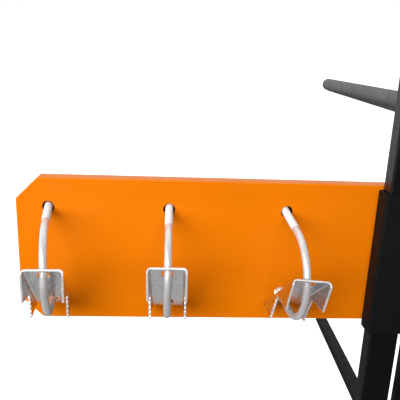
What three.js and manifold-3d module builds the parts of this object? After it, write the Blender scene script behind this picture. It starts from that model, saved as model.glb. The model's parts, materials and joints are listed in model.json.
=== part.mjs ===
// Clamp-hook tool panel: an orange sheet-metal panel with three U-bolt hooks, each with a loose
// toothed saddle, carried by a black sleeve that slides on an upright post.
// Units are millimetres, +Z is up, the panel faces -Y. The origin is the centre of the main post's foot.
import * as THREE from 'three';
import { mergeVertices } from 'three/addons/utils/BufferGeometryUtils.js';
import Module from 'manifold-3d';

const wasm = await Module();
wasm.setup();

// ---- driving dimensions ----
const GAP = 0.3;                  // gap left between pieces that touch

const POST = { width: 31, depth: 19, wall: 2, corner: 2.2, height: 450 };
const SIDE_POST = { width: 25, depth: 10, wall: 1.5, corner: 1.5, gap: 9.5 };
const CAP = { flange: 2, plug: 9 };
const TIE = { height: 22, depth: 8, heights: [8, 420] };

const SLEEVE = { width: 39, depth: 22.6, side: 3.5, wall: 1.5, corner: 3, height: 152, bottom: 154 };

const PANEL = { length: 402.5, height: 151, depth: 16.5, sheet: 3, chamfer: 22, bottom: 159 };
const PANEL_RIGHT = SLEEVE.width / 2;
const PANEL_LEFT = PANEL_RIGHT - PANEL.length;
const PANEL_FRONT = SLEEVE.depth / 2 + GAP;

const HOLES = { margin: 31.5, pitch: 120, low: 31, high: 121, diameter: 12 };

const BOLT = { thread: 8, shank: 7.1, bend: 44, straight: 8, threadLength: 50, chamfer: 0.8 };
const NUT = { flats: 13, height: 6.5, bore: 8.8, seat: 7.8 };
const WASHER = { diameter: 20, thickness: 1.6, bore: 9, seat: 5.8 };

const SADDLE = { width: 36.5, length: 104, depth: 23.5, sheet: 2, bend: 4.5, endDepth: 5.5 };
const NOTCH = { halfWidth: 28.5, depth: 16.2, teeth: 6, toothDepth: 2.1 };
const SLOT = { width: 10.4, inner: 30.4, outer: 49.2 };

// How each hook lies in its holes (degrees, millimetres): turn about the vertical, droop below level,
// roll about its own legs, offset of the upper leg in its hole, and how far the thread stands out.
// Then how its saddle lies: seat is its distance from the panel along the lower leg.
const HOOKS = [
  { name: 'left', turn: 7.8, droop: 6.5, roll: 0.6, shift: 0.1, rise: -1.0, reach: 29.8,
    saddle: { tilt: 48.6, turn: 5.5, lean: 1.6, seat: 15.2, drop: 41.4, side: 0.9 } },
  { name: 'middle', turn: -0.3, droop: 13.1, roll: 0.2, shift: 0, rise: -0.2, reach: 31.4,
    saddle: { tilt: 45.5, turn: -1.1, lean: -0.6, seat: 13.4, drop: 40.8, side: 0.7 } },
  { name: 'right', turn: 4.8, droop: 11.2, roll: 1.2, shift: -0.8, rise: -0.4, reach: 33.0,
    saddle: { tilt: 52.9, turn: 0.8, lean: 4.6, seat: 10.7, drop: 40.0, side: 0.5 } },
];

const SCREW = { shank: 6, head: 11, headHeight: 3, bore: 6.7, inset: 11.5, heights: [19, 133] };
const KNOB = { height: 76, shank: 8, bore: 8.8, radius: 17, thickness: 12, lobes: 5, lobe: 5, standOff: 17,
  hub: 7.5 };

const TOP_ARM = { radius: 8.2, top: 403, length: 283.6 };
const KEEL = { width: 10, foot: 6, depth: 5.2, length: 270, sunk: 2.5 };
const REAR_FOOT = { width: 14, height: 13, wall: 1.6, length: 291, x: -7, start: 56, splay: 7.6, fall: 9.7 };

// ---- materials ----
const paint = (color, roughness, metalness) => new THREE.MeshStandardMaterial({ color, roughness, metalness });
const orangePaint = () => paint(0xf08800, 0.3, 0.0);
const blackPaint = () => paint(0x15161a, 0.5, 0.1);
const greyPaint = () => paint(0x5c5e61, 0.6, 0.1);
const blackPlastic = () => paint(0x101010, 0.7, 0.0);
const zinc = () => paint(0xc9ccd0, 0.35, 0.9);

// ---- solids from three.js geometry ----
function toManifold(geometry) {
  const bare = geometry.index ? geometry.toNonIndexed() : geometry.clone();
  bare.deleteAttribute('normal');
  bare.deleteAttribute('uv');
  const merged = mergeVertices(bare, 1e-4);
  const vertProperties = new Float32Array(merged.attributes.position.array);
  const triVerts = new Uint32Array(merged.index.array);
  return new wasm.Manifold(new wasm.Mesh({ numProp: 3, vertProperties, triVerts }));
}

function toGeometry(manifold) {
  const cut = manifold.getMesh();
  const geometry = new THREE.BufferGeometry();
  geometry.setAttribute('position', new THREE.BufferAttribute(new Float32Array(cut.vertProperties), 3));
  geometry.setIndex(new THREE.BufferAttribute(new Uint32Array(cut.triVerts), 1));
  geometry.computeVertexNormals();
  return geometry;
}

// An outline in the XY plane, extruded along +Z from `from` to `to`.
function prism(shape, from, to, curveSegments = 2) {
  const geometry = new THREE.ExtrudeGeometry(shape, { depth: to - from, bevelEnabled: false, curveSegments });
  geometry.translate(0, 0, from);
  return geometry;
}

// Turns a prism whose outline was drawn in (y, z) and extruded along x.
function alongX(geometry) {
  geometry.applyMatrix4(new THREE.Matrix4().makeBasis(
    new THREE.Vector3(0, 1, 0), new THREE.Vector3(0, 0, 1), new THREE.Vector3(1, 0, 0)));
  return geometry;
}

// Turns a prism whose outline was drawn in (x, z) and extruded along -y.
function alongY(geometry) {
  geometry.rotateX(Math.PI / 2);
  return geometry;
}

function rod(diameter, from, to, sides = 16) {
  const geometry = new THREE.CylinderGeometry(diameter / 2, diameter / 2, to - from, sides);
  geometry.translate(0, (from + to) / 2, 0);
  return geometry;
}

function polygon(points) {
  return new THREE.Shape(points.map(([x, y]) => new THREE.Vector2(x, y)));
}

function roundedRectangle(width, depth, corner, centreX = 0, centreY = 0) {
  const shape = new THREE.Shape();
  const right = centreX + width / 2;
  const left = centreX - width / 2;
  const back = centreY + depth / 2;
  const front = centreY - depth / 2;
  shape.moveTo(left + corner, front);
  shape.lineTo(right - corner, front);
  shape.absarc(right - corner, front + corner, corner, -Math.PI / 2, 0);
  shape.lineTo(right, back - corner);
  shape.absarc(right - corner, back - corner, corner, 0, Math.PI / 2);
  shape.lineTo(left + corner, back);
  shape.absarc(left + corner, back - corner, corner, Math.PI / 2, Math.PI);
  shape.lineTo(left, front + corner);
  shape.absarc(left + corner, front + corner, corner, Math.PI, Math.PI * 1.5);
  return shape;
}

function tubeSection(width, depth, wall, corner, side = wall) {
  const shape = roundedRectangle(width, depth, corner);
  shape.holes.push(roundedRectangle(width - 2 * side, depth - 2 * wall, Math.max(corner - wall, 0.5)));
  return shape;
}

const product = new THREE.Group();

function add(parent, name, geometry, material) {
  const mesh = new THREE.Mesh(geometry, material);
  mesh.name = name;
  parent.add(mesh);
  return mesh;
}

// ---- the upright frame ----
function upright(name, size, x) {
  const group = new THREE.Group();
  group.position.x = x;
  product.add(group);
  const bottom = CAP.flange + GAP;
  const top = POST.height - CAP.flange - GAP;
  const section = tubeSection(size.width, size.depth, size.wall, size.corner);
  add(group, name, prism(section, bottom, top), blackPaint());

  const flange = roundedRectangle(size.width, size.depth, size.corner);
  const inset = 2 * (size.wall + GAP);
  const plug = roundedRectangle(size.width - inset, size.depth - inset, 0.8);
  for (const end of ['bottom', 'top']) {
    const cap = toManifold(prism(flange, 0, CAP.flange))
      .add(toManifold(prism(plug, CAP.flange - 0.5, CAP.flange + CAP.plug)));
    const mesh = add(group, `${name}_cap_${end}`, toGeometry(cap), blackPlastic());
    if (end === 'top') {
      mesh.rotation.x = Math.PI;
      mesh.position.z = POST.height;
    }
  }
}

const SIDE_POST_X = (POST.width + SIDE_POST.width) / 2 + SIDE_POST.gap;
upright('main_post', POST, 0);
upright('side_post', SIDE_POST, SIDE_POST_X);

// short bars join the two posts below and above the sleeve's travel
function postTies() {
  const width = SIDE_POST.gap - 2 * GAP;
  const labels = ['lower', 'upper'];
  TIE.heights.forEach((height, index) => {
    const bar = new THREE.BoxGeometry(width, TIE.depth, TIE.height);
    bar.translate((POST.width + SIDE_POST.gap) / 2, 0, height + TIE.height / 2);
    add(product, `post_tie_${labels[index]}`, bar, blackPaint());
  });
}
postTies();

// the top arm: a round bar with a domed end, and a tapering keel under it
function topArm() {
  const { radius, top, length } = TOP_ARM;
  const centre = top - radius;
  const start = POST.depth / 2 + GAP;
  const dome = start + length - radius;
  const profile = [new THREE.Vector2(0, start), new THREE.Vector2(radius, start)];
  const steps = 8;
  for (let step = 0; step <= steps; step += 1) {
    const angle = (step / steps) * Math.PI / 2;
    const across = step === steps ? 0 : radius * Math.cos(angle);
    profile.push(new THREE.Vector2(across, dome + radius * Math.sin(angle)));
  }
  const turned = new THREE.LatheGeometry(profile, 32);
  turned.translate(0, 0, centre);
  const bar = toManifold(turned);

  const bottom = centre - radius;
  const keelSection = polygon([
    [-KEEL.width / 2, bottom + KEEL.sunk], [-KEEL.foot / 2, bottom - KEEL.depth],
    [KEEL.foot / 2, bottom - KEEL.depth], [KEEL.width / 2, bottom + KEEL.sunk],
  ]);
  const keel = alongY(prism(keelSection, -start - KEEL.length, -start));
  const taper = new THREE.BoxGeometry(KEEL.width * 3, KEEL.length * 3, KEEL.depth * 8);
  taper.translate(0, 0, -KEEL.depth * 4);
  taper.rotateX(Math.atan2(KEEL.depth, KEEL.length));
  taper.translate(0, start, bottom - KEEL.depth);
  const arm = bar.add(toManifold(keel).subtract(toManifold(taper)));
  add(product, 'top_arm', toGeometry(arm), greyPaint());
}
topArm();

// the rear foot: a tube that leaves the back of the post and falls away to the ground behind it
function rearFoot() {
  const { width, height, wall, length, x, start, splay, fall } = REAR_FOOT;
  const back = POST.depth / 2 + GAP;
  const tilt = new THREE.Matrix4().makeRotationFromEuler(new THREE.Euler(
    THREE.MathUtils.degToRad(-fall), 0, THREE.MathUtils.degToRad(-splay), 'ZXY'));
  const place = new THREE.Matrix4().makeTranslation(x, back, start);
  const outer = alongY(prism(tubeSection(width, height, wall, 2), -length, 20));
  outer.applyMatrix4(tilt).applyMatrix4(place);
  const keep = new THREE.BoxGeometry(length * 4, length * 4, length * 4);
  keep.translate(0, back + length * 2, 0);
  add(product, 'rear_foot', toGeometry(toManifold(outer).intersect(toManifold(keep))), blackPaint());

  const plugSize = 2 * (wall + GAP);
  const flange = alongY(prism(roundedRectangle(width, height, 2), -length - GAP - CAP.flange, -length - GAP));
  const plug = alongY(prism(roundedRectangle(width - plugSize, height - plugSize, 0.8),
    -length - GAP - 0.5, -length + CAP.plug));
  const cap = toGeometry(toManifold(flange).add(toManifold(plug)));
  cap.applyMatrix4(tilt).applyMatrix4(place);
  add(product, 'rear_foot_cap', cap, blackPlastic());
}
rearFoot();

// ---- the sleeve that slides on the post ----
const screwPlaces = [];
for (const height of SCREW.heights) {
  for (const side of [-1, 1]) {
    screwPlaces.push({ x: side * (SLEEVE.width / 2 - SCREW.inset), z: PANEL.bottom + height });
  }
}

// a round hole along Y through everything between two depths
function drill(x, z, diameter, from, to, sides = 20) {
  const hole = rod(diameter, from, to, sides);
  hole.translate(x, 0, z);
  return toManifold(hole);
}

function sleeve() {
  const section = tubeSection(SLEEVE.width, SLEEVE.depth, SLEEVE.wall, SLEEVE.corner, SLEEVE.side);
  let body = toManifold(prism(section, SLEEVE.bottom, SLEEVE.bottom + SLEEVE.height));
  for (const { x, z } of screwPlaces) {
    body = body.subtract(drill(x, z, SCREW.bore, 0, PANEL_FRONT));
  }
  body = body.subtract(drill(0, PANEL.bottom + KNOB.height, KNOB.bore, 0, PANEL_FRONT));
  add(product, 'mounting_sleeve', toGeometry(body), blackPaint());
}
sleeve();

// ---- the panel: a folded tray with its open side to the back ----
const hookX = (index) => PANEL_LEFT + HOLES.margin + index * HOLES.pitch;

function panelOutline(inset) {
  const left = PANEL_LEFT + inset;
  const right = PANEL_RIGHT - inset;
  const low = PANEL.bottom + inset;
  const high = PANEL.bottom + PANEL.height - inset;
  const cut = PANEL.chamfer - inset * (2 - Math.SQRT2);
  return polygon([
    [left, low + cut], [left + cut, low], [right, low], [right, high], [left + cut, high], [left, high - cut],
  ]);
}

function panel() {
  const back = PANEL_FRONT + PANEL.depth;
  let tray = toManifold(alongY(prism(panelOutline(0), -back, -PANEL_FRONT)));
  const pocket = alongY(prism(panelOutline(PANEL.sheet), -back - 1, -PANEL_FRONT - PANEL.sheet));
  tray = tray.subtract(toManifold(pocket));
  HOOKS.forEach((hook, index) => {
    for (const height of [HOLES.low, HOLES.high]) {
      const hole = drill(hookX(index), PANEL.bottom + height, HOLES.diameter, PANEL_FRONT - 1, back, 24);
      tray = tray.subtract(hole);
    }
  });
  for (const { x, z } of screwPlaces) {
    tray = tray.subtract(drill(x, z, SCREW.bore, PANEL_FRONT - 1, back));
  }
  tray = tray.subtract(drill(0, PANEL.bottom + KNOB.height, KNOB.bore, PANEL_FRONT - 1, back));
  add(product, 'tool_panel', toGeometry(tray), orangePaint());
}
panel();

// screws go in from behind the sheet and end flush with the inside of the sleeve's wall
function panelScrews() {
  const sheetBack = PANEL_FRONT + PANEL.sheet;
  const tip = SLEEVE.depth / 2 - SLEEVE.wall;
  screwPlaces.forEach(({ x, z }, index) => {
    const screw = toManifold(rod(SCREW.shank, tip, sheetBack + 1))
      .add(toManifold(rod(SCREW.head, sheetBack + GAP, sheetBack + GAP + SCREW.headHeight, 20)))
      .subtract(toManifold(rod(4, sheetBack + GAP + 1.2, sheetBack + 8, 6)));
    const mesh = add(product, `panel_screw_${index + 1}`, toGeometry(screw), zinc());
    mesh.position.set(x, 0, z);
  });
}
panelScrews();

// the clamp knob behind the panel: its screw passes the sheet and bears on the back of the post
function clampKnob() {
  const group = new THREE.Group();
  group.position.set(0, 0, PANEL.bottom + KNOB.height);
  product.add(group);
  const tip = POST.depth / 2 + GAP;
  const face = PANEL_FRONT + KNOB.standOff;
  const head = rod(KNOB.radius * 2, face, face + KNOB.thickness, 30);
  let grip = toManifold(head).add(toManifold(rod(KNOB.hub * 2, face - 8, face + 1, 20)));
  for (let lobe = 0; lobe < KNOB.lobes; lobe += 1) {
    const angle = (lobe / KNOB.lobes) * Math.PI * 2;
    const scallop = rod(KNOB.lobe * 2, face - 1, face + KNOB.thickness + 1, 16);
    const reach = KNOB.radius + KNOB.lobe * 0.35;
    scallop.translate(reach * Math.cos(angle), 0, reach * Math.sin(angle));
    grip = grip.subtract(toManifold(scallop));
  }
  grip = grip.subtract(toManifold(rod(KNOB.shank + 2 * GAP, face - 9, face + KNOB.thickness - 3, 16)));
  add(group, 'clamp_knob', toGeometry(grip), blackPlastic());
  add(group, 'clamp_screw', rod(KNOB.shank, tip, face + KNOB.thickness - 3 - GAP, 16), zinc());
}
clampKnob();

// ---- hooks ----
const radians = THREE.MathUtils.degToRad;

// The U-bolt in its own frame: origin on the upper leg's axis at the panel's front face, legs along Y.
function uBolt(reach) {
  const bendStart = -reach - BOLT.straight;
  const path = new THREE.CurvePath();
  const arc = new THREE.EllipseCurve(0, 0, BOLT.bend, BOLT.bend, Math.PI / 2, -Math.PI / 2, true);
  const arcPoints = arc.getPoints(20).map((p) => new THREE.Vector3(0, bendStart - p.x, p.y - BOLT.bend));
  const stops = [new THREE.Vector3(0, -reach + 0.5, 0), ...arcPoints,
    new THREE.Vector3(0, -reach + 0.5, -2 * BOLT.bend)];
  for (let i = 1; i < stops.length; i += 1) {
    path.add(new THREE.LineCurve3(stops[i - 1], stops[i]));
  }
  const circle = new THREE.Shape();
  circle.absarc(0, 0, BOLT.shank / 2, 0, Math.PI * 2);
  let bolt = toManifold(new THREE.ExtrudeGeometry(circle, { steps: 32, curveSegments: 6, extrudePath: path }));
  for (const height of [0, -2 * BOLT.bend]) {
    const r = BOLT.thread / 2;
    const end = BOLT.threadLength - reach;
    const leg = new THREE.LatheGeometry([
      new THREE.Vector2(0, -reach), new THREE.Vector2(r - BOLT.chamfer / 2, -reach),
      new THREE.Vector2(r, -reach + BOLT.chamfer), new THREE.Vector2(r, end - BOLT.chamfer),
      new THREE.Vector2(r - BOLT.chamfer, end), new THREE.Vector2(0, end),
    ], 16);
    leg.translate(0, 0, height);
    bolt = bolt.add(toManifold(leg));
  }
  return toGeometry(bolt);
}

function hexNut() {
  const corner = NUT.flats / 2 / Math.cos(Math.PI / 6);
  const nut = toManifold(rod(corner * 2, NUT.seat, NUT.seat + NUT.height, 6));
  return toGeometry(nut.subtract(toManifold(rod(NUT.bore, 0, 30, 16))));
}

function washer() {
  const ring = roundRing(WASHER.diameter / 2, WASHER.bore / 2);
  return alongY(prism(ring, -WASHER.seat - WASHER.thickness, -WASHER.seat, 8));
}

function roundRing(outer, inner) {
  const ring = new THREE.Shape();
  ring.absarc(0, 0, outer, 0, Math.PI * 2);
  const hole = new THREE.Path();
  hole.absarc(0, 0, inner, 0, Math.PI * 2);
  ring.holes.push(hole);
  return ring;
}

// The side view of a saddle in (depth, length): the web is at 0, the notched flanges reach to -depth.
function saddleSide() {
  const { halfWidth, depth, teeth, toothDepth } = NOTCH;
  const half = SADDLE.length / 2;
  const slope = [];
  const along = new THREE.Vector2(-halfWidth, depth).divideScalar(teeth);
  const normal = new THREE.Vector2(depth, halfWidth).normalize().multiplyScalar(toothDepth);
  for (let tooth = 0; tooth < teeth; tooth += 1) {
    const x = halfWidth + along.x * tooth;
    const y = -SADDLE.depth + along.y * tooth;
    slope.push([y, x]);
    slope.push([y + along.y * 0.5 + normal.y, x + along.x * 0.5 + normal.x]);
  }
  const apex = [-SADDLE.depth + depth, 0];
  const mirrored = slope.map(([y, x]) => [y, -x]).reverse();
  return polygon([[1, half], [-SADDLE.endDepth, half], ...slope, apex, ...mirrored,
    [-SADDLE.endDepth, -half], [1, -half]]);
}

function saddle() {
  const { width, length, depth, sheet, bend } = SADDLE;
  const half = width / 2;
  const inner = half - sheet;
  const section = new THREE.Shape();
  section.moveTo(-half, -depth);
  section.lineTo(-half, -bend);
  section.absarc(-half + bend, -bend, bend, Math.PI, Math.PI / 2, true);
  section.lineTo(half - bend, 0);
  section.absarc(half - bend, -bend, bend, Math.PI / 2, 0, true);
  section.lineTo(half, -depth);
  section.lineTo(inner, -depth);
  section.lineTo(inner, -bend);
  section.absarc(half - bend, -bend, bend - sheet, 0, Math.PI / 2, false);
  section.lineTo(-half + bend, -sheet);
  section.absarc(-half + bend, -bend, bend - sheet, Math.PI / 2, Math.PI, false);
  section.lineTo(-inner, -depth);
  let body = toManifold(prism(section, -length / 2, length / 2));
  body = body.intersect(toManifold(alongX(prism(saddleSide(), -width, width))));

  const slot = new THREE.Shape();
  const r = SLOT.width / 2;
  slot.absarc(0, SLOT.outer - r, r, 0, Math.PI, false);
  slot.absarc(0, SLOT.inner + r, r, Math.PI, Math.PI * 2, false);
  for (const turn of [0, Math.PI]) {
    const cutter = alongY(prism(slot, -5, 5, 4));
    cutter.rotateY(turn);
    body = body.subtract(toManifold(cutter));
  }
  return toGeometry(body);
}

function hook(options, index) {
  const { name, turn, droop, roll, shift, rise, reach } = options;
  const group = new THREE.Group();
  group.rotation.set(radians(droop), radians(-roll), radians(turn), 'ZXY');
  group.position.set(hookX(index) + shift, PANEL_FRONT, PANEL.bottom + HOLES.high + rise);
  product.add(group);
  add(group, `u_bolt_${name}`, uBolt(reach), zinc());
  for (const [level, height] of [['upper', 0], ['lower', -2 * BOLT.bend]]) {
    add(group, `washer_${name}_${level}`, washer(), blackPlastic()).position.z = height;
    add(group, `hex_nut_${name}_${level}`, hexNut(), zinc()).position.z = height;
  }

  group.updateMatrixWorld(true);
  const legDirection = new THREE.Vector3(0, -1, 0).transformDirection(group.matrixWorld);
  const lowerLeg = group.localToWorld(new THREE.Vector3(0, 0, -2 * BOLT.bend));
  const { tilt, turn: saddleTurn, lean, seat, drop, side } = options.saddle;
  const onLeg = lowerLeg.clone();
  onLeg.addScaledVector(legDirection, (PANEL_FRONT - seat - lowerLeg.y) / legDirection.y);
  const mesh = add(product, `toothed_saddle_${name}`, saddle(), zinc());
  mesh.rotation.set(radians(tilt), radians(lean), radians(saddleTurn), 'ZYX');
  mesh.updateMatrixWorld(true);
  mesh.position.copy(onLeg).add(new THREE.Vector3(side, 0, drop).applyEuler(mesh.rotation));
}
HOOKS.forEach(hook);

export default product;
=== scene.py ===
"""Looks for the clamp-hook tool panel: an orange sheet-metal panel with U-bolt hooks on a black post."""

import json
import math

import bmesh
import bpy
from mathutils import Matrix, Vector


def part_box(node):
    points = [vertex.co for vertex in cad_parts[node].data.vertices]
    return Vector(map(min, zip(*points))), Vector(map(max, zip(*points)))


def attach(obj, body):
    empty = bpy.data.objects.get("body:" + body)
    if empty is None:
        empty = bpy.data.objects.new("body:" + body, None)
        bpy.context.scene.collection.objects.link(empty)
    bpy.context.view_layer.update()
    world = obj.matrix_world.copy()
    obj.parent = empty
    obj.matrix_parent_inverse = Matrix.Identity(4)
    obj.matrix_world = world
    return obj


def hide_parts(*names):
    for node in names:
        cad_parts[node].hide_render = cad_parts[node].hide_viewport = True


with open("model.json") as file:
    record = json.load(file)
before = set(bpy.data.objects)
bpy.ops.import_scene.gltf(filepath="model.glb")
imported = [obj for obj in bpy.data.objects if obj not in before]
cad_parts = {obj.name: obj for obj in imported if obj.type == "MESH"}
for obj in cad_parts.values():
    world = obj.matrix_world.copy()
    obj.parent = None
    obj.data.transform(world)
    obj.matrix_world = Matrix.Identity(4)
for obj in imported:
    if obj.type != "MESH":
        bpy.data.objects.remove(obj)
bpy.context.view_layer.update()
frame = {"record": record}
scene = bpy.context.scene

MM = 0.001

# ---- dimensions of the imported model, in millimetres ----
GAP = 0.3
POST = {"width": 31, "depth": 19, "wall": 2, "corner": 2.2, "height": 450}
SIDE_POST = {"width": 25, "depth": 10, "wall": 1.5, "corner": 1.5}
SIDE_POST_X = 37.5
CAP = {"flange": 2, "plug": 9}
SLEEVE = {"width": 39, "depth": 22.6, "side": 3.5, "wall": 1.5, "corner": 3, "height": 152, "bottom": 154}
PANEL = {"length": 402.5, "height": 151, "depth": 16.5, "sheet": 3, "chamfer": 22, "bottom": 159}
PANEL_RIGHT = SLEEVE["width"] / 2
PANEL_LEFT = PANEL_RIGHT - PANEL["length"]
PANEL_FRONT = SLEEVE["depth"] / 2 + GAP
HOLES = {"margin": 31.5, "pitch": 120, "low": 31, "high": 121, "diameter": 12}
BOLT = {"thread": 8, "shank": 7.1, "bend": 44, "straight": 8, "length": 50, "pitch": 1.25, "root": 6.6}
NUT = {"flats": 13, "height": 6.5, "bore": 8.8, "seat": 7.8}
WASHER = {"diameter": 20, "thickness": 1.6, "bore": 9, "seat": 5.8}
SADDLE = {"width": 36.5, "length": 104, "depth": 23.5, "sheet": 2, "bend": 4.5, "end_depth": 5.5}
# The notches' teeth are 0.2 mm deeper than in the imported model, and the slots 0.2 mm wider and 0.4 mm longer.
NOTCH = {"half": 28.5, "depth": 16.2, "teeth": 6, "tooth": 2.3}
SLOT = {"width": 10.6, "inner": 30.2, "outer": 49.4}
SCREW = {"shank": 6, "head": 11, "thick": 3, "bore": 6.7, "inset": 11.5, "heights": (19, 133),
         "socket": 4, "socket_depth": 1.7}
KNOB = {"height": 76, "shank": 8, "bore": 8.8, "radius": 17, "thick": 12, "lobes": 5, "lobe": 5,
        "stand_off": 17, "hub": 7.5, "hub_length": 8, "dish": 10.5, "dish_depth": 0.7, "screw_inside": 3}
ARM = {"radius": 8.2, "top": 403, "length": 283.6}
KEEL = {"width": 10, "foot": 6, "depth": 5.2, "length": 270, "sunk": 2.5}
FOOT = {"width": 14, "height": 13, "wall": 1.6, "corner": 2, "length": 291, "x": -7, "start": 56,
        "splay": 7.6, "fall": 9.7}

# How each hook and its saddle lie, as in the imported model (degrees and millimetres).
HOOKS = {
    "left": {"turn": 7.8, "droop": 6.5, "roll": 0.6, "shift": 0.1, "rise": -1.0, "reach": 29.8,
             "tilt": 48.6, "swing": 5.5, "lean": 1.6, "seat": 15.2, "drop": 41.4, "side": 0.9},
    "middle": {"turn": -0.3, "droop": 13.1, "roll": 0.2, "shift": 0, "rise": -0.2, "reach": 31.4,
               "tilt": 45.5, "swing": -1.1, "lean": -0.6, "seat": 13.4, "drop": 40.8, "side": 0.7},
    "right": {"turn": 4.8, "droop": 11.2, "roll": 1.2, "shift": -0.8, "rise": -0.4, "reach": 33.0,
              "tilt": 52.9, "swing": 0.8, "lean": 4.6, "seat": 10.7, "drop": 40.0, "side": 0.5},
}

# Where the camera stands (metres), how it is turned (radians) and its lens (millimetres).
CAMERA = {"at": (-0.23375, -0.48878, 0.43329), "yaw": 0.065544, "pitch": 0.277353, "roll": 0.040604,
          "lens": 46.716, "sensor": 36}

BODY_OF = {node: body for body, nodes in frame["record"]["behaviour"]["bodies"].items() for node in nodes}


# ---- materials ----
class Paint:
    """A Principled material with helpers for procedural colour, roughness and bump."""

    def __init__(self, name, specular, metallic=0.0):
        self.material = bpy.data.materials.new(name)
        self.material.use_nodes = True
        self.nodes = self.material.node_tree.nodes
        self.links = self.material.node_tree.links
        self.shader = self.nodes["Principled BSDF"]
        self.shader.inputs["Metallic"].default_value = metallic
        self.shader.inputs["Specular IOR Level"].default_value = specular
        self.place = self.nodes.new("ShaderNodeTexCoord").outputs["Object"]

    def stretched(self, scale):
        mapping = self.nodes.new("ShaderNodeMapping")
        mapping.inputs["Scale"].default_value = scale
        self.links.new(self.place, mapping.inputs["Vector"])
        return mapping.outputs["Vector"]

    def noise(self, scale, detail, place=None):
        texture = self.nodes.new("ShaderNodeTexNoise")
        texture.inputs["Scale"].default_value = scale
        texture.inputs["Detail"].default_value = detail
        self.links.new(place or self.place, texture.inputs["Vector"])
        return texture.outputs["Fac"]

    def ramp(self, value, low, high, start=0.3, end=0.7):
        """Colours from low to high as value goes from start to end."""
        ramp = self.nodes.new("ShaderNodeValToRGB")
        ramp.color_ramp.elements[0].position = start
        ramp.color_ramp.elements[0].color = (*low, 1)
        ramp.color_ramp.elements[1].position = end
        ramp.color_ramp.elements[1].color = (*high, 1)
        self.links.new(value, ramp.inputs["Fac"])
        return ramp.outputs["Color"]

    def spread(self, value, low, high, start=0.3, end=0.7):
        """A number from low to high as value goes from start to end."""
        spread = self.nodes.new("ShaderNodeMapRange")
        spread.inputs["From Min"].default_value = start
        spread.inputs["From Max"].default_value = end
        spread.inputs["To Min"].default_value = low
        spread.inputs["To Max"].default_value = high
        self.links.new(value, spread.inputs["Value"])
        return spread.outputs["Result"]

    def mix(self, share, one, other):
        """Colour one where share is 0, and the other where it is 1."""
        mix = self.nodes.new("ShaderNodeMix")
        mix.data_type = "RGBA"
        self.links.new(share, mix.inputs["Factor"])
        for socket, colour in ((mix.inputs["A"], one), (mix.inputs["B"], other)):
            if isinstance(colour, tuple):
                socket.default_value = (*colour, 1)
            else:
                self.links.new(colour, socket)
        return mix.outputs["Result"]

    def edges(self):
        """From 0 on flat faces to 1 on outer edges, where the paints mix in a lighter colour as a painted
        highlight.
        """
        pointiness = self.nodes.new("ShaderNodeNewGeometry").outputs["Pointiness"]
        return self.spread(pointiness, 0.0, 1.0, 0.52, 0.58)

    def bump(self, *layers):
        """Bump from (value, strength, distance in metres) layers, one on another."""
        normal = None
        for value, strength, distance in layers:
            bump = self.nodes.new("ShaderNodeBump")
            bump.inputs["Strength"].default_value = strength
            bump.inputs["Distance"].default_value = distance
            self.links.new(value, bump.inputs["Height"])
            if normal is not None:
                self.links.new(normal, bump.inputs["Normal"])
            normal = bump.outputs["Normal"]
        self.links.new(normal, self.shader.inputs["Normal"])

    def set(self, socket, value):
        """Links a value to one of the shader's sockets."""
        self.links.new(value, self.shader.inputs[socket])


def orange_paint():
    paint = Paint("orange powder coat", 0.12)
    tone = paint.ramp(paint.noise(7, 3), (0.81, 0.196, 0.0), (0.85, 0.209, 0.0))
    # A lighter orange along the outer edges: painted highlight.
    paint.set("Base Color", paint.mix(paint.edges(), tone, (0.96, 0.25, 0.01)))
    paint.set("Roughness", paint.spread(paint.noise(35, 3), 0.30, 0.38))
    peel = paint.noise(520, 2)
    grain = paint.noise(2600, 1)
    paint.bump((peel, 0.05, 0.0003), (grain, 0.04, 0.0001))
    return paint.material


def black_paint(name, low, specular, rough):
    paint = Paint(name, specular)
    tone = paint.ramp(paint.noise(60, 5), (low, low, low), (low * 1.7, low * 1.7, low * 1.75))
    # A lighter black along the outer edges: painted highlight.
    paint.set("Base Color", paint.mix(paint.edges(), tone, (0.012, 0.012, 0.013)))
    paint.set("Roughness", paint.spread(paint.noise(90, 4), rough - 0.06, rough + 0.06))
    paint.bump((paint.noise(1500, 3), 0.12, 0.00008), (paint.noise(220, 2), 0.03, 0.0002))
    return paint.material


def grey_paint(name, low, high):
    paint = Paint(name, 0.35)
    tone = paint.ramp(paint.noise(80, 5), low, high)
    # A lighter grey along the outer edges: painted highlight.
    paint.set("Base Color", paint.mix(paint.edges(), tone, (0.2, 0.2, 0.2)))
    paint.set("Roughness", paint.spread(paint.noise(120, 4), 0.52, 0.66))
    paint.bump((paint.noise(1300, 3), 0.3, 0.00015),)
    return paint.material


def zinc(name, low, high, metallic, roughness, grain):
    paint = Paint(name, 0.5, metallic)
    cloudy = paint.ramp(paint.noise(140, 6), low, high, 0.35, 0.65)
    spots = paint.spread(paint.noise(420, 2), 0.0, 0.15, 0.62, 0.75)
    dull = tuple(channel * 0.72 for channel in low)
    paint.set("Base Color", paint.mix(spots, cloudy, dull))
    paint.set("Roughness", paint.spread(paint.noise(240, 4), roughness - 0.06, roughness + 0.08))
    streaks = paint.noise(30, 3, paint.stretched((40, 5, 5)))
    paint.bump((paint.noise(1800, 2), grain, 0.0001), (streaks, grain * 0.4, 0.0001))
    return paint.material


def black_plastic():
    paint = Paint("moulded black plastic", 0.4)
    paint.set("Base Color", paint.ramp(paint.noise(50, 4), (0.009, 0.009, 0.01), (0.014, 0.014, 0.015)))
    paint.set("Roughness", paint.spread(paint.noise(160, 3), 0.42, 0.58))
    paint.bump((paint.noise(2400, 2), 0.3, 0.0001),)
    return paint.material


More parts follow.
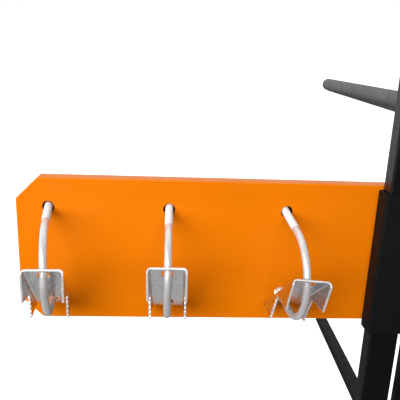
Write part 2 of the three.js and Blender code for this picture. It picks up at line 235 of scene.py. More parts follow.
ORANGE = orange_paint()
BLACK = black_paint("satin black paint", 0.002, 0.28, 0.3)
SLEEVE_BLACK = black_paint("satin black sleeve paint", 0.0055, 0.05, 0.45)
MATT = black_paint("matt black paint", 0.002, 0.06, 0.6)
GREY = grey_paint("charcoal arm paint", (0.105, 0.107, 0.108), (0.14, 0.142, 0.143))
# A darker copy of the arm paint for the bar's underside and the keel: painted shade.
PAINTED_SHADE_GREY = grey_paint("charcoal arm paint darkened underneath as painted shade", (0.03, 0.03, 0.03), (0.05, 0.05, 0.05))
SHANK = zinc("zinc plate", (0.74, 0.75, 0.76), (0.80, 0.81, 0.82), 0.45, 0.34, 0.02)
THREAD = zinc("zinc plate on threads", (0.78, 0.79, 0.80), (0.86, 0.86, 0.87), 0.1, 0.5, 0.18)
SHEET = zinc("zinc plated sheet", (0.66, 0.665, 0.67), (0.72, 0.725, 0.73), 1.0, 0.24, 0.025)
CUT = zinc("zinc plated sheared edge", (0.84, 0.85, 0.86), (0.92, 0.92, 0.93), 0.4, 0.42, 0.2)
PLASTIC = black_plastic()


# ---- mesh building ----
def outline(corners, inset, radius, steps=6):
    """Points round a convex outline that is moved in by inset and has round corners.

    The corners run anticlockwise.
    """
    points = []
    count = len(corners)
    for index, corner in enumerate(corners):
        before = Vector(corner) - Vector(corners[index - 1])
        after = Vector(corners[(index + 1) % count]) - Vector(corner)
        one = Vector((before.y, -before.x)).normalized()
        other = Vector((after.y, -after.x)).normalized()
        centre = Vector(corner) - (one + other) / (1 + one.dot(other)) * (inset + radius)
        start = math.atan2(one.y, one.x)
        sweep = (math.atan2(other.y, other.x) - start) % math.tau
        for step in range(steps + 1):
            angle = start + sweep * step / steps
            points.append((centre.x + radius * math.cos(angle), centre.y + radius * math.sin(angle)))
    return points


def rectangle(width, depth):
    x, y = width / 2, depth / 2
    return [(-x, -y), (x, -y), (x, y), (-x, y)]


def circle(radius, count, centre=(0, 0)):
    turns = [math.tau * i / count for i in range(count)]
    return [(centre[0] + radius * math.cos(turn), centre[1] + radius * math.sin(turn)) for turn in turns]


def hexagon_reach(flats, angle):
    """How far a hexagon's outline is from its middle at an angle. It measures flats across its flats."""
    return flats / 2 / math.cos((angle + math.pi / 6) % (math.pi / 3) - math.pi / 6)


def fillet(radius, steps=4):
    """(inset, depth) pairs of a round edge, from the flat face to the side."""
    turns = [math.pi / 2 * k / steps for k in range(steps + 1)]
    return [(radius * (1 - math.sin(turn)), radius * (1 - math.cos(turn))) for turn in turns]


class Shell:
    """A closed mesh made of rings of points, in millimetres."""

    def __init__(self):
        self.bm = bmesh.new()

    def ring(self, points):
        """A closed ring of new vertices."""
        return [self.bm.verts.new(p) for p in points]

    def bridge(self, one, other, material=0):
        """Faces between two rings of equal count."""
        for i in range(len(one)):
            j = (i + 1) % len(one)
            self.bm.faces.new((one[i], one[j], other[j], other[i])).material_index = material

    def loft(self, rings, ends=True, wrap=False):
        """Faces through all the rings, then flat ends, or with wrap a closed loop back to the first ring."""
        made = [self.ring(points) for points in rings]
        for one, other in zip(made, made[1:]):
            self.bridge(one, other)
        if wrap:
            self.bridge(made[-1], made[0])
        elif ends:
            self.bm.faces.new(made[0])
            self.bm.faces.new(made[-1])
        return made

    def fill(self, loops):
        """Flat faces between closed loops of points, the first round all the others."""
        edges = []
        for loop in loops:
            for i, vertex in enumerate(loop):
                follower = loop[(i + 1) % len(loop)]
                edges.append(self.bm.edges.get((vertex, follower)) or self.bm.edges.new((vertex, follower)))
        bmesh.ops.triangle_fill(self.bm, use_beauty=True, use_dissolve=False, edges=edges)

    def cut(self, *cutters):
        """Takes the closed shells in cutters away."""
        target = self.as_object("target")
        for cutter in cutters:
            tool = cutter.as_object("cutter")
            modifier = target.modifiers.new("cut", "BOOLEAN")
            modifier.operation = "DIFFERENCE"
            modifier.solver = "EXACT"
            modifier.object = tool
        made = bpy.data.meshes.new_from_object(target.evaluated_get(bpy.context.evaluated_depsgraph_get()))
        self.bm = bmesh.new()
        self.bm.from_mesh(made)
        for modifier in list(target.modifiers):
            bpy.data.objects.remove(modifier.object)
        bpy.data.objects.remove(target)
        return self

    def as_object(self, name):
        """Turns the shell into an object in the scene, which uses it up."""
        bmesh.ops.recalc_face_normals(self.bm, faces=self.bm.faces[:])
        mesh = bpy.data.meshes.new(name)
        self.bm.to_mesh(mesh)
        self.bm.free()
        obj = bpy.data.objects.new(name, mesh)
        scene.collection.objects.link(obj)
        bpy.context.view_layer.update()
        return obj

    def piece(self, node, slot, materials, place=None, sharp=32):
        """The finished piece that stands for a CAD node.

        place goes from the shell's own frame to the model's, and sharp is the least angle of a hard edge.
        """
        if place is not None:
            self.bm.transform(place)
        self.bm.transform(Matrix.Scale(MM, 4))
        obj = self.as_object(f"{node}_detail")
        for material in materials:
            obj.data.materials.append(material)
        for polygon in obj.data.polygons:
            polygon.use_smooth = True
        obj.data.set_sharp_from_angle(angle=math.radians(sharp))
        weighted = obj.modifiers.new("normals", "WEIGHTED_NORMAL")
        weighted.keep_sharp = True
        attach(obj, BODY_OF[node])
        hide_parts(node)


def cylinder(radius, start, end, x, z):
    """A closed round shell along Y."""
    shell = Shell()
    shell.loft([[(px, y, pz) for px, pz in circle(radius, 32, (x, z))] for y in (start, end)])
    return shell


def lathe(profile, count):
    """A ring turned about Y. The profile is (radius, y) pairs."""
    shell = Shell()
    shell.loft([[(x, y, z) for x, z in circle(radius, count)] for radius, y in profile], wrap=True)
    return shell


# ---- the posts, their caps and ties ----
def tube(size, bottom, top, lip=0.5):
    """A rectangular tube along Z with round corners and eased ends."""
    outside = rectangle(size["width"], size["depth"])
    side = size.get("side", size["wall"])
    inside = rectangle(size["width"] - 2 * side, size["depth"] - 2 * size["wall"])
    rings = []
    for inset, height in ((lip, bottom), (0.12, bottom + 0.15), (0, bottom + lip), (0, top - lip),
                          (0.12, top - 0.15), (lip, top)):
        rings.append([(x, y, height) for x, y in outline(outside, inset, size["corner"] - inset)])
    for ease, height in ((0.3, top), (0, top - 0.3), (0, bottom + 0.3), (0.3, bottom)):
        radius = max(size["corner"] - size["wall"], 0.5) + ease
        rings.append([(x, y, height) for x, y in outline(inside, -ease, radius)])
    shell = Shell()
    shell.loft(rings, wrap=True)
    return shell


def end_cap(width, depth, wall, corner):
    """A tube's plug: the flange's outer face is at z 0, and the plug points to +Z."""
    corners = rectangle(width, depth)
    inset = wall + GAP
    seat = CAP["flange"]
    tip = seat + CAP["plug"]
    rings = []
    for distance, height in [*fillet(0.8), (0, seat - 0.2), (0.2, seat), (inset, seat), (inset, tip - 1),
                             (inset + 0.8, tip)]:
        radius = max(corner - distance, 0.4)
        rings.append([(x, y, height) for x, y in outline(corners, distance, radius)])
    shell = Shell()
    shell.loft(rings)
    return shell


def uprights():
    """Both posts, each with a cap in either end."""
    for name, size, x in (("main_post", POST, 0), ("side_post", SIDE_POST, SIDE_POST_X)):
        place = Matrix.Translation((x, 0, 0))
        bottom = CAP["flange"] + GAP
        tube(size, bottom, POST["height"] - bottom).piece(name, "frame_paint", [BLACK], place)
        flip = Matrix.Translation((x, 0, POST["height"])) @ Matrix.Rotation(math.pi, 4, "X")
        for end, at in (("bottom", place), ("top", flip)):
            cap = end_cap(size["width"], size["depth"], size["wall"], size["corner"])
            cap.piece(f"{name}_cap_{end}", "black_plastic", [PLASTIC], at)


def ties():
    """Solid bars between the two posts, each as large as its CAD box."""
    for name in ("post_tie_lower", "post_tie_upper"):
        low, high = (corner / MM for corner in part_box(name))
        size = high - low
        corners = rectangle(size.x, size.y)
        rings = []
        edge = fillet(0.8)
        for distance, height in edge + [(a, size.z - b) for a, b in reversed(edge)]:
            rings.append([(x, y, height) for x, y in outline(corners, distance, max(1.0 - distance, 0.2), 3)])
        shell = Shell()
        shell.loft(rings)
        centre = (low + high) / 2
        shell.piece(name, "frame_paint", [BLACK], Matrix.Translation((centre.x, centre.y, low.z)))


# ---- the top arm and the rear foot ----
def arm_section(radius, keel):
    """A section of the arm in (x, z) about the bar's axis: a circle, with the keel under it if there is one.

    keel is how far the keel reaches below the bar here.
    """
    width, sunk = KEEL["width"] / 2, KEEL["sunk"]
    joint = math.asin(min((width - 0.2) / ARM["radius"], 1))
    lean = (width - KEEL["foot"] / 2) / (KEEL["depth"] + sunk)
    half = []
    if keel > 0:
        foot = width - lean * (keel + sunk)
        ease = min(0.9, (keel + 1) * 0.35)
        low = -radius - keel
        half += [(foot / 2, low), (foot - ease, low), (foot - ease * 0.3, low + ease * 0.3),
                 (foot + lean * ease, low + ease)]
    else:
        turns = [joint * k / 4.5 for k in range(1, 5)]
        half += [(radius * math.sin(turn), -radius * math.cos(turn)) for turn in turns]
    for k in range(17):
        angle = joint + (math.pi - joint) * k / 16
        half.append((radius * math.sin(angle), -radius * math.cos(angle)))
    return half + [(-x, z) for x, z in reversed(half[:-1])]


def top_arm():
    """A round bar with a domed end, and a keel that runs out along its underside."""
    radius = ARM["radius"]
    start = POST["depth"] / 2 + GAP
    dome = start + ARM["length"] - radius
    rings = []
    stations = 24
    for k in range(stations + 1):
        y = start + KEEL["length"] * k / stations
        keel = KEEL["depth"] * (1 - k / stations)
        rings.append([(x, y, z) for x, z in arm_section(radius, keel)])
    steps = 14
    for k in range(1, steps + 1):
        turn = math.pi / 2 * k / steps
        size = max(radius * math.cos(turn), 0.15)
        rings.append([(x, dome + radius * math.sin(turn), z) for x, z in arm_section(size, 0)])
    shell = Shell()
    shell.loft(rings)
    # Faces low on the bar and along the keel take the darker copy of the arm paint: painted shade.
    underside = -radius * 0.88
    for face in shell.bm.faces:
        if face.calc_center_median().z < underside:
            face.material_index = 1
    shell.piece("top_arm", "arm_paint", [GREY, PAINTED_SHADE_GREY], Matrix.Translation((0, 0, ARM["top"] - radius)))


def rear_foot():
    """A tube from the post's back face that falls away behind it, with a plug in its far end."""
    back = POST["depth"] / 2 + GAP
    turn = (Matrix.Rotation(math.radians(-FOOT["splay"]), 4, "Z")
            @ Matrix.Rotation(math.radians(-FOOT["fall"]), 4, "X"))
    place = Matrix.Translation((FOOT["x"], back, FOOT["start"])) @ turn
    corners = rectangle(FOOT["width"], FOOT["height"])
    along = turn @ Vector((0, 1, 0))
    wall, end = FOOT["wall"], FOOT["length"]
    rings = []
    for inset, near, y in ((0.3, True, 0), (0, True, 0.5), (0, False, end - 0.4), (0.3, False, end),
                           (wall, False, end), (wall, True, 0)):
        ring = []
        for x, z in outline(corners, inset, max(FOOT["corner"] - inset, 0.4)):
            # the tube's near end is cut flush with the post's back face
            flush = -(turn @ Vector((x, 0, z))).y / along.y
            ring.append((x, flush + y if near else y, z))
        rings.append(ring)
    shell = Shell()
    shell.loft(rings, wrap=True)
    shell.piece("rear_foot", "frame_paint", [MATT], place)

    cap = end_cap(FOOT["width"], FOOT["height"], wall, FOOT["corner"])
    outer_face = Matrix.Translation((0, end + GAP + CAP["flange"], 0))
    at = place @ outer_face @ Matrix.Rotation(math.pi / 2, 4, "X")
    cap.piece("rear_foot_cap", "black_plastic", [PLASTIC], at)


# ---- the carriage: sleeve, panel and screws ----
SCREW_PLACES = [(side * (SLEEVE["width"] / 2 - SCREW["inset"]), PANEL["bottom"] + height)
                for height in SCREW["heights"] for side in (-1, 1)]
KNOB_Z = PANEL["bottom"] + KNOB["height"]


def sleeve():
    """A rectangular tube round the main post, drilled through its back wall for the screws and the knob."""
    shell = tube(SLEEVE, SLEEVE["bottom"], SLEEVE["bottom"] + SLEEVE["height"], lip=0.6)
    cutters = [cylinder(SCREW["bore"] / 2, 1, PANEL_FRONT + 1, x, z) for x, z in SCREW_PLACES]
    cutters.append(cylinder(KNOB["bore"] / 2, 1, PANEL_FRONT + 1, 0, KNOB_Z))
    shell.cut(*cutters).piece("mounting_sleeve", "frame_paint", [SLEEVE_BLACK])


def panel():
    """A folded tray: a flat front, soft folds, and a rim of flanges towards the back."""
    low, high = PANEL["bottom"], PANEL["bottom"] + PANEL["height"]
    clip = PANEL["chamfer"]
    corners = [(PANEL_LEFT, low + clip), (PANEL_LEFT + clip, low), (PANEL_RIGHT, low), (PANEL_RIGHT, high),
               (PANEL_LEFT + clip, high), (PANEL_LEFT, high - clip)]
    sheet = PANEL["sheet"]
    depth = PANEL["depth"]
    profile = fillet(1.1, 5)
    profile += [(0, depth - 0.6), (0.18, depth - 0.18), (0.6, depth)]
    profile += [(sheet - 0.4, depth), (sheet, depth - 0.4)]
    profile += [(sheet + a, sheet + b) for a, b in ((0, 1.2), (0.35, 0.35), (1.2, 0))]
    rings = []
    for inset, y in profile:
        radius = max(3.2 - inset, 0.5)
        rings.append([(x, PANEL_FRONT + y, z) for x, z in outline(corners, inset, radius, 5)])
    shell = Shell()
    made = shell.loft(rings, ends=False)
    front, back = [made[0]], [made[-1]]
    holes = [(PANEL_LEFT + HOLES["margin"] + index * HOLES["pitch"], low + height, HOLES["diameter"] / 2)
             for index in range(3) for height in (HOLES["low"], HOLES["high"])]
    holes += [(x, z, SCREW["bore"] / 2) for x, z in SCREW_PLACES]
    holes.append((0, KNOB_Z, KNOB["bore"] / 2))
    for x, z, radius in holes:
        rim = [(radius + 0.45, 0), (radius + 0.13, 0.13), (radius, 0.45)]
        rim += [(radius, sheet - 0.3), (radius + 0.3, sheet)]
        loops = [[(px, PANEL_FRONT + y, pz) for px, pz in circle(size, 48, (x, z))] for size, y in rim]
        loops = shell.loft(loops, ends=False)
        front.append(loops[0])
        back.append(loops[-1])
    shell.fill(front)
    shell.fill(back)
    shell.piece("tool_panel", "panel_paint", [ORANGE])


def panel_screws():
    """Button-head screws with a hex socket, seen inside the panel's back."""
    tip = SLEEVE["depth"] / 2 - SLEEVE["wall"]
    seat = PANEL_FRONT + PANEL["sheet"] + GAP
    rim = seat + 0.4
    top = seat + SCREW["thick"]
    shank = SCREW["shank"] / 2
    head = SCREW["head"] / 2
    count = 36
    for index, (x, z) in enumerate(SCREW_PLACES):
        shell = Shell()
        profile = [(shank - 0.6, tip), (shank, tip + 0.6), (shank, seat)]
        profile += [(head - 0.5, seat), (head, rim)]
        for turn in (0.35, 0.7, 1.0, 1.15):
            profile.append((head * math.cos(turn) + 0.2 * math.sin(turn), rim + (top - rim) * math.sin(turn)))
        rings = [[(px, y, pz) for px, pz in circle(radius, count)] for radius, y in profile]
        hexagon = []
        for k in range(count):
            angle = math.tau * k / count
            reach = hexagon_reach(SCREW["socket"], angle)
            hexagon.append((reach * math.cos(angle), reach * math.sin(angle)))
        for depth in (0.05, SCREW["socket_depth"]):
            rings.append([(px, top - depth, pz) for px, pz in hexagon])
        shell.loft(rings)
        shell.piece(f"panel_screw_{index + 1}", "zinc", [SHANK], Matrix.Translation((x, 0, z)))


# ---- threads ----
def thread_radius(along, angle, start, end, thread, root):
    """A thread's radius at a point: a helix with flat crests, run out over the last turn at each end."""
    phase = (along / BOLT["pitch"] - angle / math.tau) % 1
    wave = min(max((abs(2 * phase - 1) - 0.15) / 0.65, 0), 1)
    fade = min(1, (along - start) / BOLT["pitch"], (end - along) / BOLT["pitch"])
    return root + (thread - root) * wave * max(fade, 0)


def clamp_knob():
    """A lobed plastic knob with a hub, and the screw through it that presses on the post."""
    tip = POST["depth"] / 2 + GAP
    face = PANEL_FRONT + KNOB["stand_off"]
    bore = KNOB["shank"] / 2 + GAP
    away = KNOB["radius"] + KNOB["lobe"] * 0.35
    count = 120

    def lobed(inset):
        """The knob's outline moved in by inset, with a round hollow between each two lobes."""
        loop = []
        for k in range(count):
            angle = math.tau * k / count
            near = (angle + math.pi / KNOB["lobes"]) % (math.tau / KNOB["lobes"]) - math.pi / KNOB["lobes"]
            reach = KNOB["radius"]
            inside = KNOB["lobe"] ** 2 - (away * math.sin(near)) ** 2
            if inside > 0 and math.cos(near) > 0:
                reach = min(reach, away * math.cos(near) - math.sqrt(inside))
            loop.append(((reach - inset) * math.cos(angle), (reach - inset) * math.sin(angle)))
        return loop

    back = face + KNOB["thick"]
    pocket = back - KNOB["screw_inside"]
    hub, hub_front = KNOB["hub"], face - KNOB["hub_length"]
    dish, floor_y = KNOB["dish"], back - KNOB["dish_depth"]
    rounds = [(bore, pocket), (bore, hub_front + 0.3), (bore + 0.3, hub_front), (hub - 0.6, hub_front),
              (hub, hub_front + 0.6), (hub, face - 0.8), (hub + 0.8, face)]
    rings = [(circle(radius, count), y) for radius, y in rounds]
    rings += [(lobed(inset), face + y) for inset, y in fillet(1.4)]
    rings += [(lobed(inset), back - y) for inset, y in reversed(fillet(1.8))]
    rings += [(circle(radius, count), y) for radius, y in ((dish, back), (dish - 0.8, floor_y), (4, floor_y))]
    shell = Shell()
    shell.loft([[(x, y, z) for x, z in loop] for loop, y in rings])
    place = Matrix.Translation((0, 0, KNOB_Z))
    shell.piece("clamp_knob", "black_plastic", [PLASTIC], place, sharp=40)

    end = pocket - GAP
    crest, root = KNOB["shank"] / 2, BOLT["root"] / 2
    step = BOLT["pitch"] / 6
    steps = int((end - tip - 2) / step)
    stops = [(tip, crest - 1.0)]
    stops += [(tip + 0.9 + step * k, None) for k in range(steps)]
    stops += [(end - 0.6, crest - 0.1), (end, crest - 0.6)]
    sides = 28
    rings = []
    for y, plain in stops:
        ring = []
        for k in range(sides):
            angle = math.tau * k / sides
            size = plain or thread_radius(y, angle, tip, end, crest, root)
            ring.append((size * math.cos(angle), y, size * math.sin(angle)))
        rings.append(ring)
    shell = Shell()
    shell.loft(rings)
    shell.piece("clamp_screw", "zinc", [SHANK], place, sharp=60)


# ---- hooks ----
def hook_place(index, hook):
    """A U-bolt's own frame: it starts in the upper hole at the panel's front, and the legs lie along Y."""
    x = PANEL_LEFT + HOLES["margin"] + index * HOLES["pitch"] + hook["shift"]
    turn = (Matrix.Rotation(math.radians(hook["turn"]), 4, "Z")
            @ Matrix.Rotation(math.radians(hook["droop"]), 4, "X")
            @ Matrix.Rotation(math.radians(-hook["roll"]), 4, "Y"))
    return Matrix.Translation((x, PANEL_FRONT, PANEL["bottom"] + HOLES["high"] + hook["rise"])) @ turn


def u_bolt(name, place, reach):
    """One bent rod whose two legs carry a rolled thread, thicker than the shank between them."""
    crest, shank, root = BOLT["thread"] / 2, BOLT["shank"] / 2, BOLT["root"] / 2
    bend = BOLT["bend"]
    sides = 28
    step = BOLT["pitch"] / 6
    tip = BOLT["length"] - reach
    rows = int(BOLT["length"] / step)
    leg = [k * BOLT["length"] / rows for k in range(rows + 1)]
    up, down = Vector((0, 0, 1)), Vector((0, 0, -1))

    def leg_radius(along, angle):
        """A threaded leg's radius at a distance from its tip, chamfered there and run into the shank."""
        size = thread_radius(along, angle, -BOLT["pitch"], BOLT["length"], crest, root)
        size = min(size, crest - 0.9 + along * 0.9)
        rest = BOLT["length"] - along
        return max(size, shank - rest * 0.6) if rest < 0.6 else size

    # each stop is a point on the rod's axis, the way out of the bend, and the distance along a leg or None
    stops = [(Vector((0, tip - along, 0)), up, along) for along in leg]
    straight = [-reach - BOLT["straight"] * k / 4 for k in range(1, 4)]
    stops += [(Vector((0, y, 0)), up, None) for y in straight]
    centre = Vector((0, -reach - BOLT["straight"], -bend))
    steps = 48
    for k in range(steps + 1):
        turn = math.pi * k / steps
        out = Vector((0, -math.sin(turn), math.cos(turn)))
        stops.append((centre + out * bend, out, None))
    stops += [(Vector((0, y, -2 * bend)), down, None) for y in reversed(straight)]
    stops += [(Vector((0, tip - along, -2 * bend)), down, along) for along in reversed(leg)]
    shell = Shell()
    rings = []
    for point, out, along in stops:
        ring = []
        for k in range(sides):
            angle = math.tau * k / sides
            size = shank if along is None else leg_radius(along, angle)
            ring.append(point + Vector((math.cos(angle) * size, 0, 0)) + out * (math.sin(angle) * size))
        rings.append((shell.ring(ring), along is not None))
    shell.bm.faces.new(rings[0][0]).material_index = 1
    for (one, threaded), (other, still_threaded) in zip(rings, rings[1:]):
        shell.bridge(one, other, 1 if threaded and still_threaded else 0)
    shell.bm.faces.new(rings[-1][0]).material_index = 1
    shell.piece(f"u_bolt_{name}", "zinc", [SHANK, THREAD], place, sharp=60)


def washer(node, place):
    inner, outer = WASHER["bore"] / 2, WASHER["diameter"] / 2
    near, far = WASHER["seat"], WASHER["seat"] + WASHER["thickness"]
    profile = [(inner + 0.15, near), (outer - 0.25, near), (outer, near + 0.25), (outer, far - 0.25),
               (outer - 0.25, far), (inner + 0.15, far), (inner, far - 0.15), (inner, near + 0.15)]
    # The washers are black so the gaps round the rods in the panel holes show dark: painted shade.
    lathe(profile, 48).piece(node, "black_plastic", [MATT], place)


def hex_nut(node, place):
    """A hexagon nut with 30 degree chamfers on both faces and an eased bore."""
    bore = NUT["bore"] / 2
    near, far = NUT["seat"], NUT["seat"] + NUT["height"]
    count = 72
    round_face = NUT["flats"] / 2 * 0.96
    shell = Shell()
    rings = []
    for radius, y in ((bore, near + 0.5), (bore, far - 0.5), (bore + 0.5, far), (round_face, far)):
        rings.append([(x, y, z) for x, z in circle(radius, count)])
    for face, sign in ((far, -1), (near, 1)):
        ring = []
        for k in range(count):
            angle = math.tau * k / count
            reach = hexagon_reach(NUT["flats"], angle)
            y = face + sign * (reach - round_face) * math.tan(math.radians(30))
            ring.append((reach * math.cos(angle), y, reach * math.sin(angle)))
        rings.append(ring)
    for radius, y in ((round_face, near), (bore + 0.5, near)):
        rings.append([(x, y, z) for x, z in circle(radius, count)])
    shell.loft(rings, wrap=True)
    shell.piece(node, "zinc", [SHANK], place, sharp=25)


def flange_edge(z):
    """How far a saddle's flanges reach from its web at a distance z from its middle: a toothed V notch."""
    depth, half = SADDLE["depth"], SADDLE["length"] / 2
    z = abs(z)
    if z >= NOTCH["half"]:
        beyond = z - NOTCH["half"]
        return depth - beyond / (half - NOTCH["half"]) * (depth - SADDLE["end_depth"])
    share = (NOTCH["half"] - z) / NOTCH["half"]
    valley = 1 - abs(math.cos(math.pi * share * (NOTCH["teeth"] - 0.5))) ** 0.7
    slant = math.hypot(NOTCH["half"], NOTCH["depth"]) / NOTCH["half"]
    return depth - share * NOTCH["depth"] - valley * NOTCH["tooth"] * slant


def saddle(name, place):
    """A pressed U channel, with a toothed V notch in both flanges and a slot near each end of its web."""
    half, end = SADDLE["width"] / 2, SADDLE["length"] / 2
    bend, sheet = SADDLE["bend"], SADDLE["sheet"]
    stations = [-end, -end + 0.15, -end + 0.5]
    stations += [-end + (end - NOTCH["half"]) * k / 8 for k in range(1, 8)]
    per_tooth = 10
    count = NOTCH["teeth"] * per_tooth
    stations += [-NOTCH["half"] + NOTCH["half"] * k / count for k in range(count + 1)]
    stations = sorted(stations + [-z for z in stations if z < 0])
    steps = 7
    lip = 0.3
    rings = []
    for z in stations:
        ease = 0.0
        if abs(z) > end - 0.4:
            ease = 0.35 if abs(z) == end else 0.1
        reach = flange_edge(z)
        outer, inner = [], []
        for k in range(steps + 1):
            angle = math.pi / 2 * k / steps
            outer.append((-half + bend - (bend - ease) * math.cos(angle),
                          -bend + (bend - ease) * math.sin(angle)))
            tight = bend - sheet + ease
            inner.append((-half + bend - tight * math.cos(angle), -bend + tight * math.sin(angle)))
        left = [(-half + ease + lip, -reach), (-half + ease, -reach + lip)] + outer
        under = [(-half + sheet - ease - lip, -reach), (-half + sheet - ease, -reach + lip)] + inner
        left = [(x, max(y, -reach)) for x, y in left]
        under = [(x, max(y, -reach)) for x, y in under]
        loop = left + [(-x, y) for x, y in reversed(left)]
        loop += [(-x, y) for x, y in under] + [(x, y) for x, y in reversed(under)]
        rings.append([(x, y, z) for x, y in loop])
    shell = Shell()
    made = [shell.ring(points) for points in rings]
    size = len(made[0])
    middle = size // 2
    # the faces on and beside the flanges' sheared tips, by their place round the section
    lips = {0, middle - 2, middle - 1, middle, size - 2, size - 1}
    for one, other in zip(made, made[1:]):
        for i in range(size):
            j = (i + 1) % size
            face = shell.bm.faces.new((one[i], one[j], other[j], other[i]))
            face.material_index = 1 if i in lips else 0
    for ring in (made[0], made[-1]):
        shell.bm.faces.new(ring).material_index = 1

    radius = SLOT["width"] / 2
    near, far = SLOT["inner"] + radius, SLOT["outer"] - radius
    turns = [math.pi * k / 12 for k in range(13)]
    loop = [(radius * math.cos(turn), far + radius * math.sin(turn)) for turn in turns]
    loop += [(radius * math.cos(math.pi + turn), near + radius * math.sin(math.pi + turn)) for turn in turns]
    cutters = []
    for side in (-1, 1):
        cutter = Shell()
        cutter.loft([[(x, y, z * side) for x, z in loop] for y in (-5, 5)])
        cutters.append(cutter)
    shell.cut(*cutters)
    shell.piece(f"toothed_saddle_{name}", "saddle_zinc", [SHEET, CUT], place, sharp=38)


def saddle_place(hook, frame_of_hook):
    """A saddle's own frame, set off from its U-bolt's lower leg at the point that is seat from the panel."""
    leg = (frame_of_hook.to_3x3() @ Vector((0, -1, 0))).normalized()
    lower = frame_of_hook @ Vector((0, 0, -2 * BOLT["bend"]))
    on_leg = lower + leg * ((PANEL_FRONT - hook["seat"] - lower.y) / leg.y)
    turn = (Matrix.Rotation(math.radians(hook["swing"]), 4, "Z")
            @ Matrix.Rotation(math.radians(hook["lean"]), 4, "Y")
            @ Matrix.Rotation(math.radians(hook["tilt"]), 4, "X"))
    return Matrix.Translation(on_leg + turn @ Vector((hook["side"], 0, hook["drop"]))) @ turn


def hooks():
    """Three U-bolts, each with two washers, two nuts and a saddle."""
    for index, (name, hook) in enumerate(HOOKS.items()):
        place = hook_place(index, hook)
        u_bolt(name, place, hook["reach"])
        for level, height in (("upper", 0), ("lower", -2 * BOLT["bend"])):
            at = place @ Matrix.Translation((0, 0, height))
            washer(f"washer_{name}_{level}", at)
            hex_nut(f"hex_nut_{name}_{level}", at)
        saddle(name, saddle_place(hook, place))


uprights()
ties()
top_arm()
rear_foot()
sleeve()
panel()
panel_screws()
clamp_knob()
hooks()


# ---- floor, light and camera ----
def floor():
    """A pale floor that stays white to the camera, and neither lights the object nor shows in its gloss."""
    radius, thick = 400000, 20
    shell = Shell()
    shell.loft([[(x, y, z) for x, y in circle(radius, 96)] for z in (0, -thick)])
    shell.bm.transform(Matrix.Scale(MM, 4))
    obj = shell.as_object("floor")
    paint = Paint("pale floor", 0.0)
    paint.set("Base Color", paint.ramp(paint.noise(3, 2), (0.84, 0.84, 0.84), (0.9, 0.9, 0.9)))
    paint.shader.inputs["Roughness"].default_value = 0.9
    paint.shader.inputs["Emission Color"].default_value = (1, 1, 1, 1)
    paint.shader.inputs["Emission Strength"].default_value = 0.85
    obj.data.materials.append(paint.material)
    obj.visible_diffuse = False
    obj.visible_glossy = False


def lamp(name, at, target, size, power, tint=(1, 1, 1)):
    """A rectangular lamp that faces its target. size is its two sides in metres, and power is in watts."""
    light = bpy.data.lights.new(name, "AREA")
    light.shape = "RECTANGLE"
    light.size, light.size_y = size
    light.energy = power
    light.color = tint
    obj = bpy.data.objects.new(name, light)
    obj.location = at
    obj.rotation_mode = "QUATERNION"
    obj.rotation_quaternion = (Vector(target) - Vector(at)).to_track_quat("-Z", "Y")
    scene.collection.objects.link(obj)


def lights():
    """A key lamp at the front left, and a warmer fill lamp straight in front."""
    target = (-0.18, 0.0, 0.24)
    lamp("key", (-1.20, -1.35, 0.90), target, (1.2, 1.2), 30)
    lamp("fill", (-0.25, -1.9, 1.0), target, (1.3, 0.8), 19, (1.0, 0.88, 0.8))


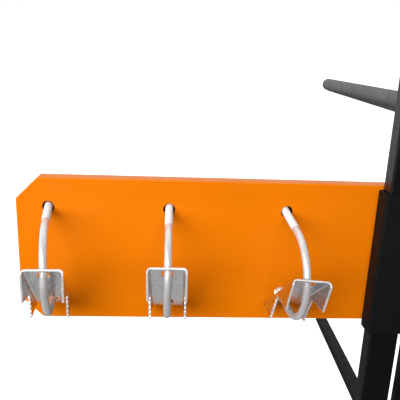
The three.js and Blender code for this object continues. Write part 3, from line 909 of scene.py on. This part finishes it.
def sky():
    """A white studio behind the object and a dark one in front. The camera itself sees plain white."""
    # the Y of a direction where the dark front ends and the bright back starts, and how bright they are
    front, behind, dark, bright = -0.6, 0.3, 0.05, 0.9
    # (height from 0 straight down to 0.5 level, brightness)
    heights = ((0.0, 0.6), (0.12, 0.5), (0.2, 0.14), (0.28, 0.14), (0.42, 0.9), (0.5, 1.0))
    world = bpy.data.worlds.new("studio")
    scene.world = world
    world.use_nodes = True
    nodes, links = world.node_tree.nodes, world.node_tree.links
    nodes.clear()
    output = nodes.new("ShaderNodeOutputWorld")
    mix = nodes.new("ShaderNodeMixShader")
    path = nodes.new("ShaderNodeLightPath")
    seen = nodes.new("ShaderNodeBackground")
    light = nodes.new("ShaderNodeBackground")
    direction = nodes.new("ShaderNodeTexCoord").outputs["Generated"]
    axes = nodes.new("ShaderNodeSeparateXYZ")
    depth = nodes.new("ShaderNodeMapRange")
    depth.interpolation_type = "SMOOTHSTEP"
    for socket, value in (("From Min", front), ("From Max", behind), ("To Min", dark), ("To Max", bright)):
        depth.inputs[socket].default_value = value
    height = nodes.new("ShaderNodeMath")
    height.operation = "MULTIPLY_ADD"
    height.inputs[1].default_value = 0.5
    height.inputs[2].default_value = 0.5
    lower = nodes.new("ShaderNodeValToRGB")
    stops = lower.color_ramp.elements
    stops[0].position, stops[1].position = heights[0][0], heights[-1][0]
    for place, _ in heights[1:-1]:
        stops.new(place)
    for stop, (_, shade) in zip(stops, heights):
        stop.color = (shade, shade, shade, 1)
    both = nodes.new("ShaderNodeMath")
    both.operation = "MULTIPLY"
    seen.inputs["Strength"].default_value = 1.0
    seen.inputs["Color"].default_value = (1, 1, 1, 1)
    light.inputs["Color"].default_value = (0.98, 0.99, 1.0, 1)
    links.new(direction, axes.inputs["Vector"])
    links.new(axes.outputs["Y"], depth.inputs["Value"])
    links.new(axes.outputs["Z"], height.inputs[0])
    links.new(height.outputs["Value"], lower.inputs["Fac"])
    links.new(depth.outputs["Result"], both.inputs[0])
    links.new(lower.outputs["Color"], both.inputs[1])
    links.new(both.outputs["Value"], light.inputs["Strength"])
    links.new(path.outputs["Is Camera Ray"], mix.inputs["Fac"])
    links.new(light.outputs["Background"], mix.inputs[1])
    links.new(seen.outputs["Background"], mix.inputs[2])
    links.new(mix.outputs["Shader"], output.inputs["Surface"])


def camera():
    """The camera, turned by yaw about Z, then tipped down by pitch, then rolled about its view."""
    yaw, pitch, roll = CAMERA["yaw"], CAMERA["pitch"], CAMERA["roll"]
    forward = Vector((math.sin(yaw) * math.cos(pitch), math.cos(yaw) * math.cos(pitch), -math.sin(pitch)))
    level = Vector((math.cos(yaw), -math.sin(yaw), 0))
    above = level.cross(forward)
    right = level * math.cos(roll) + above * math.sin(roll)
    up = above * math.cos(roll) - level * math.sin(roll)
    data = bpy.data.cameras.new("camera")
    data.sensor_width = CAMERA["sensor"]
    data.lens = CAMERA["lens"]
    data.clip_start = 0.01
    data.clip_end = 1000
    obj = bpy.data.objects.new("camera", data)
    scene.collection.objects.link(obj)
    turn = Matrix((right, up, -forward)).transposed().to_4x4()
    obj.matrix_world = Matrix.Translation(CAMERA["at"]) @ turn
    scene.camera = obj


floor()
lights()
sky()
camera()
scene.view_settings.view_transform = "Standard"
